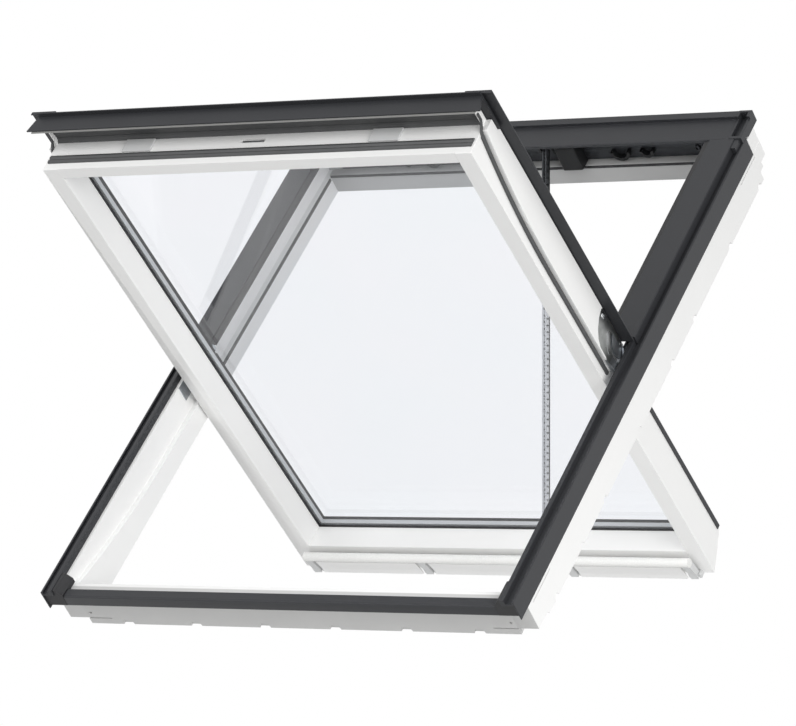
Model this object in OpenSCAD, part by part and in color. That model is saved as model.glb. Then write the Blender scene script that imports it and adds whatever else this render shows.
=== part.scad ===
// Centre-pivot roof window, standing open on a roof slope, with a chain opener at the head.
// Lengths are millimetres. Window axes: x across, y up the slope, z out of the roof.
// The pivot axis is the line y = 0, z = 0 before the window is set on its slope.

/* [Roof] */
// slope of the roof in degrees
pitch = 45; // [40:1:50]
// angle of the sash from closed
opened = 85.44; // [70:0.01:88]

/* [Frame] */
// outer width of the white frame
frame_w = 780; // [660:10:940]
// pivot axis to the outer face of the bottom rail
frame_low = 489; // [484:1:560]
// pivot axis to the outer face of the top rail
frame_up = 463; // [462:1:520]
// pivot axis to the room edge of the frame
frame_d = 92; // [90:1:104]
// pivot axis down to the outside face of the stiles
skin_d = 16.5; // [16.5:0.5:18]
// thickness of a stile above its ledge
stile_t = 24; // [22:1:34]
// step of the stile's inner ledge
ledge_t = 8; // [6:1:9]
// pivot axis down to the ledge of the upper half
ledge_d = 60; // [60:0.5:62]
// rise of the ledge at the bottom rail
ledge_rise = 28; // [20:1:30]
// thickness of the bottom rail
rail_low_t = 30; // [28:1:30]
// pivot axis down to the outside face of the bottom rail
rail_low_d = 26; // [26:0.5:28]
// thickness of the top rail
rail_up_t = 23; // [22:1:23]
// thickness of the top rail's back wall
back_t = 8; // [6:1:8]
// pivot axis down to the shelf of the top rail
shelf_d = 57.5; // [57.5:0.5:59.5]
// length of the bracket recess at each corner of the stiles
recess_l = 29; // [20:1:40]
// setback of the skirt behind the bottom cover
sill_in = 20; // [18:0.5:21]
// further depth of the bottom rail
sill_more = 6; // [4:0.5:7]
// inner ledge of the bottom rail
sill_ledge = 14; // [8:1:14]
// pivot axis down to the inner ledge of the bottom rail
sill_ledge_d = 70; // [69:0.5:72]
// length of a bracket slit in the skirt
sill_slit_l = 72; // [60:1:80]
// pivot axis down to the bracket slits in the skirt
sill_slit_d = 87.6; // [86:0.2:89]
// depth of the bracket recess
recess_t = 12; // [8:1:14]
// height of the bracket recess
recess_h = 24; // [18:1:26]
// length of a bracket slit
slit_l = 62; // [50:1:70]
// width of a bracket slit
slit_h = 1.6; // [1.2:0.1:2]
// pivot axis down to the bracket slits
slit_d = 50.5; // [48:0.5:54]
// radius of the nicks along the room edge of the stiles
nick_r = 6; // [4:0.5:7]
// radius of the nicks along the bottom rail
sill_nick_r = 9; // [6:0.5:10]
// depth of the nicks
nick_t = 4; // [2:0.5:5]
// outer nicks of the bottom rail inside its ends
nick_in = 65.5; // [50:0.5:80]
// radius of the bracket screw holes
screw_hole_r = 2; // [1.5:0.25:2.5]
// bracket screw holes inside the ends of the bottom rail
screw_in = 8; // [7:0.5:12]
// pivot axis down to the bracket screw holes
screw_d = 76; // [74:0.5:78]
// depth of the bracket screw holes
screw_hole_l = 16; // [10:1:20]
// setback of the frame behind its covers
seat_t = 0.3; // [0.2:0.1:0.5]
// margin of the setback below the covers
seat_gap = 0.8; // [0.5:0.1:1.2]

/* [Frame covers] */
// thickness of the metal at the outer band
band_t = 1.7; // [1.5:0.1:2]
// pivot axis down to the lower edge of the band
band_low = 42.5; // [40:0.5:46]
// pivot axis down to the upper edge of the band
band_up = 10; // [9:0.5:11]
// pivot axis down to the floor of the water channel
channel_d = 14; // [13:0.5:14.5]
// width of the band's upper edge
brim_w = 3.4; // [3:0.1:4]
// width of the water channel beside the lower half
channel_w = 10.6; // [9:0.1:12]
// height of the inner lip beside the lower half
lip_h = 7.5; // [6:0.5:9]
// width of the inner lip beside the lower half
lip_w = 7; // [5:0.5:7]
// width of the water channel beside the upper half
channel_up_w = 7.8; // [6:0.1:9]
// width of the broad plate over the upper half
plate_w = 50; // [48:1:50]
// thickness of the broad plate
plate_t = 2; // [1.5:0.1:2]
// fall of the plate's soft inner edge
plate_fall = 3; // [2:0.1:3]
// width of the plate's soft inner edge
soft_w = 10; // [8:1:11]
// gap between the covers at the pivot axis
split = 6.5; // [6.5:0.1:9]
// length left bare at the head of each side
bare_l = 30; // [28:1:34]
// height of the bottom cover's front
sill_front_h = 17; // [14:1:18]
// width of the bottom cover's top
sill_top_w = 16.5; // [15:0.5:17]
// height of the bottom cover above its rail
sill_h = 5.6; // [4:0.1:5.6]
// thickness of the bottom cover's front
sill_t = 2; // [1.5:0.1:2]
// front edge of the head casing inside the frame's outer face
casing_in = 42; // [39:1:42]
// back edge of the head casing beyond the frame
casing_over = 13; // [10:1:16]
// width of the raised strip on the head casing
casing_strip = 12.4; // [10:0.1:14]
// height of the raised strip on the head casing
casing_step = 5.5; // [4:0.1:6]
// thickness of the head casing
casing_t = 1.8; // [1.5:0.1:2]
// width of a casing end cap
casing_cap_w = 21; // [20:0.5:22]
// reach of a casing end cap down the water channel
cap_tongue = 19; // [14:1:22]

/* [Lock] */
// ends of the lock plate inside the frame's ledge
lock_in = 20; // [16:1:30]
// thickness of the lock plate
lock_t = 2.5; // [2:0.1:2.6]
// height of the lock plate
lock_h = 30; // [24:1:32]
// pivot axis down to the lower edge of the lock plate
lock_d = 56; // [53:1:56]
// screws of the lock plate inside its ends
lock_screw_in = 45; // [36:1:52]
// radius of the lock plate's screw holes
lock_screw_r = 3; // [2:0.5:3]
// outer keeps inside the ends of the lock plate
keep_in = 128; // [118:1:132]
// distance between two keeps
keep_pitch = 45; // [40:1:50]
// radius of the inner keeps
keep_r = 16; // [14:0.5:16]
// wall of the keeps
keep_t = 5; // [4:0.5:6]
// reach of the keeps
keep_l = 9; // [8:0.5:10]
// width of the chain motor
motor_w = 34; // [30:1:40]
// depth of the chain motor
motor_t = 24; // [20:1:24]
// height of the chain motor
motor_h = 45; // [40:1:46]
// chain motor beside the chain
motor_off = 14.5; // [14.5:0.5:20]
// gap between the chain motor and the inner keep
motor_gap = 47.5; // [40:0.5:56]

/* [Sash] */
// gap between the frame's ledge and the sash
side_gap = 3.5; // [3.5:0.1:4.5]
// gap between the bottom rail and the sash
low_gap = 8; // [8:0.5:10]
// gap between the top rail and the sash
head_gap = 8; // [8:0.5:9]
// setback of the sash's slanted head on the outside
head_slant = 31; // [30:0.5:33]
// pivot axis to the room face of the sash
room_d = 67.4; // [66:0.1:68]
// width of a stile on the room face
sash_stile_w = 26.5; // [25:0.5:28]
// further width of a stile at the glass
sash_bevel = 5; // [4:0.5:8]
// width of the bottom rail on the room face
sash_rail_low_w = 18; // [17:1:20]
// width of the top rail on the room face
sash_rail_up_w = 49; // [46:1:50]
// depth of the glass unit below the pivot axis
glass_d = 9; // [9:0.1:10]
// thickness of one pane
pane_t = 4; // [3:0.5:4]
// gap between the panes
cavity = 10; // [9:1:12]
// glass held inside the sash on each side
glass_in = 12; // [10:0.5:12]
// clearance around the glass unit
glass_gap = 2; // [1.5:0.1:3]
// visible width of the spacer bar
spacer_w = 1.5; // [1:0.5:3]
// height of the seal between the spacer bar and the outer pane
pane_seal_h = 3; // [2:0.1:4]
// thickness of the glazing gasket
gasket_t = 3; // [2:0.1:3]
// visible width of the glazing gasket
gasket_w = 1.5; // [1:0.5:3]
// side pad of the lower half beyond the sash
pad_t = 8.5; // [7:0.1:8.5]
// width of the side gaskets
seal_w = 7; // [6:0.5:8]
// thickness of the side gaskets
seal_t = 3; // [2:0.1:3]
// width of a clip on the bottom rail
clip_w = 48; // [40:1:56]
// height of a clip on the bottom rail
clip_h = 23; // [20:0.5:23]
// thickness of a clip on the bottom rail
clip_t = 3; // [2:0.1:4]
// clips of the bottom rail inside the sash's sides
clip_in = 149.5; // [120:0.5:180]
// length of the vent slot in the bottom rail
vent_l = 40; // [30:1:60]
// vent slot beside the middle of the window
vent_x = 13; // [0:1:20]
// height of the vent slot
vent_h = 7; // [5:0.5:7]

/* [Sash covers] */
// pivot axis up to the underside of the sash covers
cover_z = 0.3; // [0.3:0.1:0.6]
// thickness of the sash covers
cover_t = 2.7; // [2:0.1:3]
// edge of the sash covers inside the frame's outer face
cover_in = 9; // [8:0.5:10]
// reach of the bottom cover beyond the frame
nose = 3.5; // [3.5:0.1:6]
// height of the bottom cover's front
nose_h = 27; // [24:0.5:27]
// reach of the drip edge beyond the bottom cover's front
drip = 7; // [5:0.5:10]
// pivot axis down to the underside of the bottom cover
nose_d = 5.5; // [5:0.1:5.6]
// thickness of the bottom cover's front
nose_t = 2; // [1.5:0.1:2]
// ends of the bottom cover inside the frame's outer face
nose_in = 23; // [22:0.5:25]
// spread of the bottom cover's front towards its lower edge
nose_spread = 8; // [4:0.5:9]
// thickness of the edge covers on the upper half
edge_t = 2.2; // [1.8:0.1:2.2]
// height of the edge covers' outer rim
rim_h = 8; // [6:0.5:8]
// width of the edge covers' outer rim
rim_w = 9; // [7:0.5:10]

/* [Hinges] */
// distance of the hinge plates from the sash
hinge_off = 6.3; // [6.3:0.1:6.5]
// radius of the hinge plates on the sash
hinge_r = 46; // [44:0.5:47]
// thickness of a hinge plate
hinge_t = 2; // [1.8:0.1:2]
// radius of the arc slot
slot_r = 30; // [28:0.5:31]
// width of the arc slot
slot_w = 6; // [5:0.5:7]
// clearance of the slider in the arc slot
slide_gap = 0.3; // [0.3:0.05:0.4]
// angle of the slider in the frame
slider_at = 227; // [225:1:229]
// angle filled by the slider
slider_span = 40; // [30:1:44]
// thickness of a frame hinge plate
anchor_t = 1.5; // [1.2:0.1:1.5]
// length of a frame hinge plate
anchor_l = 110; // [100:1:120]
// reach of a frame hinge plate above the pivot axis
anchor_up = 38; // [36:1:40]
// height of a frame hinge plate
anchor_h = 25; // [22:1:25]
// screws of a frame hinge plate inside its ends
anchor_in = 10; // [8:1:12]
// radius of the hinge screws
hinge_screw_r = 2.5; // [2:0.25:3]

/* [Control bar] */
// radius of the control bar
bar_r = 7; // [6:0.25:7]
// ends of the control bar inside the sash's sides
bar_in = 21; // [21:1:60]
// height of the control bar's axis below the room face
bar_drop = 12.6; // [12.6:0.1:14]
// control bar's axis from the hinge of the bar
bar_arm = 34; // [30:1:34]
// radius of the bar's hinge pin
bar_pin_r = 2; // [1.75:0.05:2.25]
// running clearance of the bar's hinge pin
bar_fit = 0.05; // [0.03:0.01:0.08]
// width of an arm
arm_w = 12; // [8:1:14]
// inner arms from the middle of the bar
arm_x = 126; // [100:1:150]
// thickness of the flap
flap_t = 2.4; // [2:0.1:2.6]

/* [Chain opener] */
// gap between the chain's ends and the top rail, closed
chain_in = 3.5; // [3.5:0.1:4]
// pivot axis down to the chain exit
exit_d = 9.14; // [9:0.01:9.3]
// width of the chain
chain_w = 12; // [10:0.5:13]
// thickness of the chain
chain_t = 8; // [6:0.5:8]
// pitch of the chain
chain_p = 10; // [9:0.5:12]
// radius of the chain guide
guide_r = 6.5; // [6:0.1:6.5]
// radius of the chain pins
chain_pin_r = 2.5; // [2:0.1:2.5]
// running clearance of the chain guide
guide_fit = 0.05; // [0.03:0.01:0.08]

/* [Hidden] */
$fn = 64;
eps = 0.05;
xf = frame_w / 2;
xi = xf - stile_t;
xl = xi - ledge_t;
xs = xl - side_gap;
xg = xs - sash_stile_w - sash_bevel;
rail_in = -frame_low + rail_low_t;
head_in = frame_up - rail_up_t;
pad_x = xs + pad_t;
glass_x = xg + glass_in;
sash_low = frame_low - rail_low_t - low_gap;
sash_up = head_in - head_gap;
sash_up_out = sash_up - head_slant;
casing_front = frame_up - casing_in;
chain_r = head_in - chain_in;
bar_l = 2 * (xs - bar_in);
lock_x = xl - lock_in;
chain_x = lock_x - keep_in - keep_pitch - keep_r - motor_gap - motor_w - motor_off;
exit_a = asin(exit_d / chain_r);
glass_y0 = -sash_low + sash_rail_low_w - glass_in;
rail_y = sash_up - sash_rail_up_w;
glass_y1 = rail_y + glass_in;
lap_x = xg + 3;
pane_in = glass_d + 2 * pane_t + cavity;
sill_y = -frame_low + sill_in;
org_y = sill_y;
org_z = -60;
head_fall = (sash_up - sash_up_out) / (room_d - glass_d + 4);
cover_x = xf - cover_in;
sill_z = -rail_low_d + sill_h - sill_front_h;
band_x = xf + 2;
nose_y = -frame_low - nose;
nose_x = xf - nose_in;
cover_y = -sash_low + sash_rail_low_w + 2.4;
casing_back = frame_up + casing_over;
exit_y = chain_r * cos(exit_a);
exit_z = -chain_r * sin(exit_a);
// the chain hangs plumb: its ends lie as far above as below the pivot axis
hook_a = 2 * pitch - opened - exit_a;
hook_y = chain_r * cos(hook_a);
hook_z = -chain_r * sin(hook_a);
chain_len = 2 * chain_r * sin(pitch - exit_a);
bar_y = sash_up - 4 - bar_arm;
bar_z = -room_d - bar_drop;
bar_hinge_y = sash_up - 4;
bar_hinge_z = -room_d - 6;
flap_z = bar_hinge_z - 4.5;
ear_z = -7;
arm_xs = [-bar_l / 2 + 6, -arm_x, arm_x, bar_l / 2 - 6];
seal_c0 = -31;
seal_c1 = -53;

// sets the window on its slope with the middle of the skirt's outer face at the origin
module place() {
  rotate([pitch, 0, 0]) translate([0, -org_y, -org_z]) children();
}

// turns the sash open about the pivot axis
module on_sash() {
  place() rotate([-opened, 0, 0]) children();
}

// prism along x of an outline in y and z
module along_x(x0, x1, outline) {
  translate([x0, 0, 0]) rotate([90, 0, 90]) linear_extrude(x1 - x0) polygon(outline);
}

// prism along y of an outline in x and z
module along_y(y0, y1, outline) {
  translate([0, y1, 0]) rotate([90, 0, 0]) linear_extrude(y1 - y0) polygon(outline);
}

module flip() {
  mirror([1, 0, 0]) children();
}

// height of the curved ledge line beside the lower half
function ledge_at(y) = y > -160 ? -ledge_d : -ledge_d + ledge_rise * pow((y + 160) / (rail_in + 160), 2);

// height of the curved side gasket on the lower half of the sash
function seal_at(y) = y > -200 ? seal_c1 : seal_c1 + (seal_c0 - seal_c1) * pow((y + 200)
  / (-sash_low + 200), 2);

module frame_stile() {
  ledge_line = [for (i = [0:10]) let (y = -160 + (rail_in + 160) * i / 10) [y, ledge_at(y)]];
  nicks = [49, 84, 180, 268, 404, 537, 628, 779, 906];
  difference() {
    union() {
      along_y(-frame_low, frame_up, [[xi, -frame_d], [xf, -frame_d], [xf, -band_low - seat_gap],
        [xf - seat_t, -band_low - seat_gap], [xf - seat_t, -skin_d], [xi, -skin_d]]);
      along_x(xl, xi + eps, concat(
        [[sill_y, -frame_d], [frame_up, -frame_d], [frame_up, -ledge_d]],
        ledge_line,
        [[rail_in, -rail_low_d], [-frame_low + seat_t, -rail_low_d], [-frame_low + seat_t, sill_z],
          [sill_y, sill_z - 3]]
      ));
    }
    along_x(xi - 1, xf + 1, [[-frame_low - 1, sill_z], [-frame_low, sill_z], [sill_y, sill_z - 3],
      [sill_y, -frame_d - 1], [-frame_low - 1, -frame_d - 1]]);
    translate([xl - 1, sill_y - 1, -frame_d - 1])
      cube([stile_t + ledge_t + 2, recess_l + 1, frame_d + 1 - sill_slit_d + slit_h]);
    translate([xf - recess_t, frame_up - recess_l, -frame_d - 1]) cube([recess_t + 1, recess_l + 1,
      recess_h + 1]);
    translate([xf - 8, -frame_low + 35, -slit_d]) cube([9, slit_l, slit_h]);
    translate([xf - 8, frame_up - 26 - slit_l, -slit_d]) cube([9, slit_l, slit_h]);
    translate([xi - 1, -frame_low - 1, sill_z - 1]) cube([stile_t + 2, seat_t + 1, frame_d]);
    for (u = nicks)
      if (u - frame_low < frame_up - recess_l - nick_r)
        translate([xf - nick_t, u - frame_low, -frame_d]) rotate([0, 90, 0])
          cylinder(r = nick_r, h = nick_t + 1);
  }
}

module frame_stile_right() {
  color("#f2f2ef") place() frame_stile();
}

module frame_stile_left() {
  color("#f2f2ef") place() flip() frame_stile();
}

module frame_rail_bottom() {
  z0 = -frame_d - sill_more;
  y1 = rail_in + sill_ledge;
  nick_n = 6;
  nick_p = 2 * (xl - nick_in) / (nick_n - 1);
  slit = xl - xf + sill_slit_l;
  color("#f2f2ef") place() difference() {
    along_x(-xl, xl, [[sill_y, z0], [y1, z0], [y1, -sill_ledge_d], [rail_in, -sill_ledge_d], [rail_in,
      -rail_low_d],
      [-frame_low + seat_t, -rail_low_d], [-frame_low + seat_t, sill_z], [sill_y, sill_z - 3]]);
    for (s = [-1, 1]) {
      translate([s * (xl - slit / 2 + 0.5), sill_y + 2.5, -sill_slit_d + slit_h / 2])
        cube([slit + 1, 7, slit_h], center = true);
      translate([s * (xl - screw_in), sill_y - 1, -screw_d]) rotate([-90, 0, 0])
        cylinder(r = screw_hole_r, h = screw_hole_l + 1);
    }
    for (i = [0:nick_n - 1])
      translate([-xl + nick_in + nick_p * i, sill_y - 1, z0]) rotate([-90, 0, 0])
        cylinder(r = sill_nick_r, h = nick_t + 1);
  }
}

module frame_rail_top() {
  color("#f2f2ef") place() {
    along_x(-xl, xl, [[head_in, -frame_d], [frame_up, -frame_d], [frame_up, -ledge_d],
      [frame_up - back_t, -ledge_d],
      [frame_up - back_t, -shelf_d], [head_in, -shelf_d]]);
    translate([-xi, frame_up - back_t, -ledge_d]) cube([2 * xi, back_t, ledge_d - 2.5]);
  }
}

module bottom_cover() {
  y0 = -frame_low - sill_t;
  y1 = y0 + sill_top_w;
  z1 = -rail_low_d + sill_h;
  color("#4f4f51") place() {
    along_x(-xl, xl, [[y0, z1 - sill_front_h], [-frame_low, z1 - sill_front_h], [-frame_low, z1 - 0.6],
      [y0 + 0.6, z1 - 0.6], [y0, z1 - 1.6]]);
    along_x(-xl, xl, [[-frame_low - eps, -rail_low_d], [y1, -rail_low_d], [y1, z1 - 1], [y1 - 1, z1],
      [y0 + 3, z1], [y0 + 2.4, z1 - 0.6], [-frame_low - eps, z1 - 0.6]]);
  }
}

module side_cover() {
  x1 = band_x - brim_w;
  x2 = x1 - channel_w;
  x3 = x2 - lip_w;
  x4 = x1 - channel_up_w + 0.4;
  y1 = split - 0.4;
  along_y(-frame_low - 4, y1, [[band_x - band_t, -band_low], [band_x, -band_low], [band_x, -band_up - 0.6],
    [band_x - 0.6, -band_up], [x1, -band_up], [x1, -channel_d], [x2, -channel_d], [x2, -channel_d + lip_h],
    [x3, -channel_d + lip_h], [x3, -skin_d], [band_x - band_t, -skin_d]]);
  along_y(y1 - eps, frame_up - bare_l, [[band_x - band_t, -band_low], [band_x, -band_low], [band_x,
    -band_up - 0.6],
    [band_x - 0.6, -band_up], [x1, -band_up], [x1, -channel_d], [x4, -channel_d], [x4, -skin_d],
    [band_x - band_t, -skin_d]]);
}

module side_cover_right() {
  color("#4f4f51") place() side_cover();
}

module side_cover_left() {
  color("#4f4f51") place() flip() side_cover();
}

module upper_cover() {
  x2 = band_x - brim_w - channel_up_w;
  x3 = x2 - plate_w + soft_w;
  along_y(split, casing_front - 0.4, [[x2, -skin_d], [x2, -0.8], [x2 - 0.8, 0], [x3, 0],
    [x3, -plate_t], [xi + 2, -plate_t], [xi + 2, -skin_d]]);
}

module upper_cover_right() {
  color("#4f4f51") place() upper_cover();
}

module upper_cover_left() {
  color("#4f4f51") place() flip() upper_cover();
}

module upper_lip() {
  x3 = band_x - brim_w - channel_up_w - plate_w + soft_w;
  along_y(split, casing_front - 0.4, [[x3, -1.6], [x3, -plate_t - 0.4], [x3 - soft_w,
    -plate_t - plate_fall],
    [x3 - soft_w, -plate_fall - 0.8], [x3 - soft_w + 1, -plate_fall]]);
}

module upper_lip_right() {
  color("#39393b") place() upper_lip();
}

module upper_lip_left() {
  color("#39393b") place() flip() upper_lip();
}

module head_casing() {
  y1 = casing_back - casing_strip;
  x1 = band_x - casing_cap_w;
  color("#4f4f51") place() along_x(-x1, x1, [[casing_front, -5.4], [casing_front, -1.2],
    [casing_front + 1.2, -0.2],
    [casing_front + 30, -0.6], [y1, 0], [y1, casing_step], [casing_back, casing_step], [casing_back, -13],
    [casing_back - casing_t, -13], [casing_back - casing_t, -2.2], [casing_front + casing_t, -2.2],
    [casing_front + casing_t, -5.4]]);
}

module casing_cap() {
  x0 = band_x - casing_cap_w;
  x1 = band_x - brim_w - channel_up_w + 0.4;
  y0 = frame_up - bare_l + 3;
  y1 = casing_back - casing_strip;
  z0 = -band_up + 0.4;
  difference() {
    along_x(x0, band_x, [[casing_front, z0], [casing_front, 0.4], [y1 - 1, 0.8], [y1 - 1,
      casing_step + 0.6],
      [casing_back, casing_step + 0.6], [casing_back, -14], [y0 + 5, -14], [y0, z0]]);
    translate([x0 + 3, casing_front + 5, -6]) cube([casing_cap_w - 8, casing_back - casing_front - 9,
      casing_step + 10]);
  }
  translate([x1, casing_front - cap_tongue, -channel_d + 0.4]) cube([channel_up_w - 0.8,
    cap_tongue + eps, channel_d - 2]);
}

module casing_cap_right() {
  color("#454547") place() casing_cap();
}

module casing_cap_left() {
  color("#454547") place() flip() casing_cap();
}

module corner_seal() {
  x0 = xl + 0.3;
  x1 = band_x - brim_w - channel_w - lip_w - 0.4;
  x2 = band_x - band_t - 0.3;
  y0 = -frame_low - sill_t;
  z0 = -skin_d + 0.3;
  z1 = -7.5;
  slope = [[x1, z1], [xi + 1, z1 - 1], [x0, z1 - 11]];
  along_y(-frame_low - eps, rail_in + 3.5, concat(slope, [[x0, -rail_low_d], [xi - 0.3, -rail_low_d],
    [xi - 0.3, z0], [x1, z0]]));
  along_y(y0, -frame_low, concat(slope, [[x0, sill_z], [x2, sill_z], [x2, z0 - 0.6], [x1, z0 - 0.6]]));
}

module corner_seal_right() {
  color("#39393b") place() corner_seal();
}

module corner_seal_left() {
  color("#39393b") place() flip() corner_seal();
}

module frame_gasket() {
  along_y(28, head_in - 2, [[xl, -ledge_d - 1], [xl, -ledge_d - 1 - seal_w], [xl - 1, -ledge_d - seal_w],
    [xl - 1.4, -ledge_d - 6], [xl - 1, -ledge_d - 2]]);
}

module frame_gasket_right() {
  color("#3a3a3a") place() frame_gasket();
}

module frame_gasket_left() {
  color("#3a3a3a") place() flip() frame_gasket();
}

module head_gasket() {
  color("#3a3a3a") place() along_x(-xl + 2, xl - 2, [[head_in, -shelf_d - 0.6], [head_in - 1.4, -shelf_d - 1.4],
    [head_in - 1.8, -shelf_d - 4], [head_in, -shelf_d - 6]]);
}

module lock_plate() {
  y1 = frame_up - back_t;
  color("#8d8f92") place() difference() {
    translate([-lock_x, y1 - lock_t, -lock_d]) cube([2 * lock_x, lock_t, lock_h]);
    for (s = [-1, 1])
      translate([s * (lock_x - lock_screw_in), y1 - lock_t - 1, -lock_d + lock_h / 2]) rotate([-90, 0, 0])
        cylinder(r = lock_screw_r, h = lock_t + 2);
  }
}

module lock_keep(x, r) {
  y1 = frame_up - back_t - lock_t;
  z1 = -lock_d + lock_h * 0.6;
  difference() {
    translate([x, y1, z1]) rotate([90, 0, 0]) cylinder(r = r, h = keep_l);
    translate([x - r - 1, y1 - keep_l - 1, z1]) cube([2 * r + 2, keep_l + 2, r + 1]);
    translate([x, y1 + 1, z1]) rotate([90, 0, 0]) cylinder(r = r - keep_t, h = keep_l + 2);
  }
}

module lock_keeps() {
  color("#3b3c3e") place() {
    for (s = [-1, 1]) {
      lock_keep(s * (lock_x - keep_in - keep_pitch), keep_r);
      lock_keep(s * (lock_x - keep_in), keep_r * 0.75);
    }
  }
}

module chain_motor() {
  y1 = frame_up - back_t - lock_t;
  color("#2f2f31") place() translate([chain_x + motor_off, y1 - motor_t, -lock_d - 1]) cube([motor_w,
    motor_t, motor_h]);
}

module exit_bracket() {
  y1 = frame_up - back_t - lock_t;
  color("#4a4b4d") place() {
    difference() {
      union() {
        for (s = [-1, 1])
          translate([chain_x + s * 11.5 - 1.5, exit_y - 6, -24]) cube([3, y1 - exit_y + 6,
            24 + exit_z + 6]);
        translate([chain_x - 13, y1 - 3, -30]) cube([26, 3, 30 + exit_z + 6]);
      }
      translate([chain_x - 20, exit_y - 7, -25]) rotate([45, 0, 0]) cube([40, 8, 8], center = true);
    }
    translate([chain_x - 10.5, exit_y, exit_z]) rotate([0, 90, 0]) cylinder(r = chain_pin_r, h = 21);
  }
}

module hinge_anchor() {
  x0 = xi - anchor_t;
  xp = xs + hinge_off - 0.5;
  y0 = anchor_up - anchor_l;
  z1 = -skin_d - 0.5;
  translate([x0, y0, z1 - anchor_h]) cube([anchor_t, anchor_l, anchor_h]);
  for (y = [y0 + anchor_in, anchor_up - anchor_in])
    translate([x0 - 0.5, y, z1 - anchor_h / 2]) rotate([0, 90, 0]) cylinder(r = hinge_screw_r,
      h = anchor_t + 0.5);
  along_x(x0, xi, [[-18, z1 - 2], [-8, ear_z], [14, ear_z], [26, z1 - 2]]);
  translate([xp, 0, 0]) rotate([90, 0, 90]) rotate([0, 0, slider_at - slider_span / 2])
    rotate_extrude(angle = slider_span)
      translate([slot_r - slot_w / 2 + slide_gap, 0]) square([slot_w - 2 * slide_gap, x0 - xp + eps]);
}

module hinge_anchor_right() {
  color("#a4a6a8") place() hinge_anchor();
}

module hinge_anchor_left() {
  color("#a4a6a8") place() flip() hinge_anchor();
}

// slanted head of the sash at a given height
function head_at(z) = sash_up - (z + room_d) * head_fall;

module sash_stile() {
  z1 = -glass_d - 0.3;
  pad_line = [for (i = [0:10]) let (y = -sash_low + (sash_low - 10) * i / 10) [y, seal_at(y)
    + seal_w / 2 + 1]];
  along_y(-sash_low, rail_y, [[xs, -room_d], [xs, -pane_in - gasket_t], [xg, -pane_in - gasket_t],
    [xs - sash_stile_w, -room_d]]);
  along_x(xs - sash_stile_w, xs, [[rail_y - eps, -room_d], [sash_up, -room_d],
    [head_at(-pane_in - gasket_t), -pane_in - gasket_t], [rail_y - eps, -pane_in - gasket_t]]);
  difference() {
    union() {
      along_x(glass_x + glass_gap, xs, [[-sash_low, -pane_in - gasket_t - eps],
        [head_at(-pane_in - gasket_t) - 1, -pane_in - gasket_t - eps], [head_at(z1) - 1, z1],
          [-split - 1.5, z1],
        [-split - 1.5, 0], [-sash_low, 0]]);
      along_x(xs - eps, pad_x, concat([[-sash_low, -1], [-10, -1]], [for (i = [10:-1:0]) pad_line[i]]));
    }
    translate([xs, 0, 0]) rotate([0, 90, 0]) cylinder(r = hinge_r + 4, h = pad_t + 1);
    translate([glass_x, -sash_low - 1, -nose_d - 0.4]) cube([pad_x - glass_x + 1, cover_y + sash_low + 1,
      nose_d + 2]);
  }
}

module sash_stile_right() {
  color("#f4f4f2") on_sash() sash_stile();
}

module sash_stile_left() {
  color("#f4f4f2") on_sash() flip() sash_stile();
}

module sash_rail_bottom() {
  x1 = xs - sash_stile_w;
  y0 = -sash_low;
  y1 = y0 + sash_rail_low_w;
  z0 = -pane_in - gasket_t;
  color("#f4f4f2") on_sash() difference() {
    union() {
      along_x(-xg, xg, [[y0, -room_d], [y1, -room_d], [y1, z0], [y0, z0]]);
      for (s = [-1, 1])
        along_y(y0, y1, [[s * (xg - eps), -room_d], [s * x1, -room_d], [s * xg, z0], [s * (xg - eps), z0]]);
      along_x(-glass_x - glass_gap, glass_x + glass_gap, [[y0, z0 - eps], [glass_y0 - glass_gap, z0 - eps],
        [glass_y0 - glass_gap, -nose_d - 0.4], [y0, -nose_d - 0.4]]);
    }
    translate([-vent_x - vent_l / 2, y0 - 1, -30.5]) cube([vent_l, 5, vent_h]);
  }
}

module sash_rail_top() {
  x1 = xs - sash_stile_w;
  z0 = -pane_in - gasket_t;
  z1 = -glass_d - 0.3;
  color("#f4f4f2") on_sash() {
    along_x(-x1, x1, [[rail_y, -room_d], [sash_up, -room_d], [head_at(z0), z0], [rail_y, z0]]);
    along_x(-glass_x - glass_gap, glass_x + glass_gap, [[glass_y1 + glass_gap, z0 - eps], [head_at(z0)
      - 1, z0 - eps],
      [head_at(z1) - 1, z1], [glass_y1 + glass_gap, z1]]);
  }
}

module pane(z) {
  translate([-glass_x, glass_y0, z]) cube([2 * glass_x, glass_y1 - glass_y0, pane_t]);
}

module inner_pane() {
  color([0.85, 0.9, 0.95, 0.3]) on_sash() pane(-pane_in);
}

module outer_pane() {
  color([0.85, 0.9, 0.95, 0.3]) on_sash() pane(-glass_d - pane_t);
}

// ring between two upright rectangles
module ring(x1, y0, y1, w, z, h) {
  translate([0, 0, z]) linear_extrude(h) difference() {
    translate([-x1, y0]) square([2 * x1, y1 - y0]);
    translate([-x1 + w, y0 + w]) square([2 * x1 - 2 * w, y1 - y0 - 2 * w]);
  }
}

module spacer_bar() {
  e = 4;
  color("#9a9c9e") on_sash()
    ring(glass_x - e, glass_y0 + e, glass_y1 - e, spacer_w + glass_in - e, -pane_in + pane_t,
      cavity - pane_seal_h);
}

module pane_seal() {
  e = 4;
  color("#2c2c2e") on_sash()
    ring(glass_x - e, glass_y0 + e, glass_y1 - e, spacer_w + glass_in - e,
      -glass_d - pane_t - pane_seal_h, pane_seal_h);
}

module glazing_gasket() {
  z0 = -pane_in - gasket_t;
  color("#333333") on_sash() ring(glass_x - 1, glass_y0 + 1, glass_y1 - 1, gasket_w + glass_in - 1, z0,
    gasket_t);
}

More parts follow.
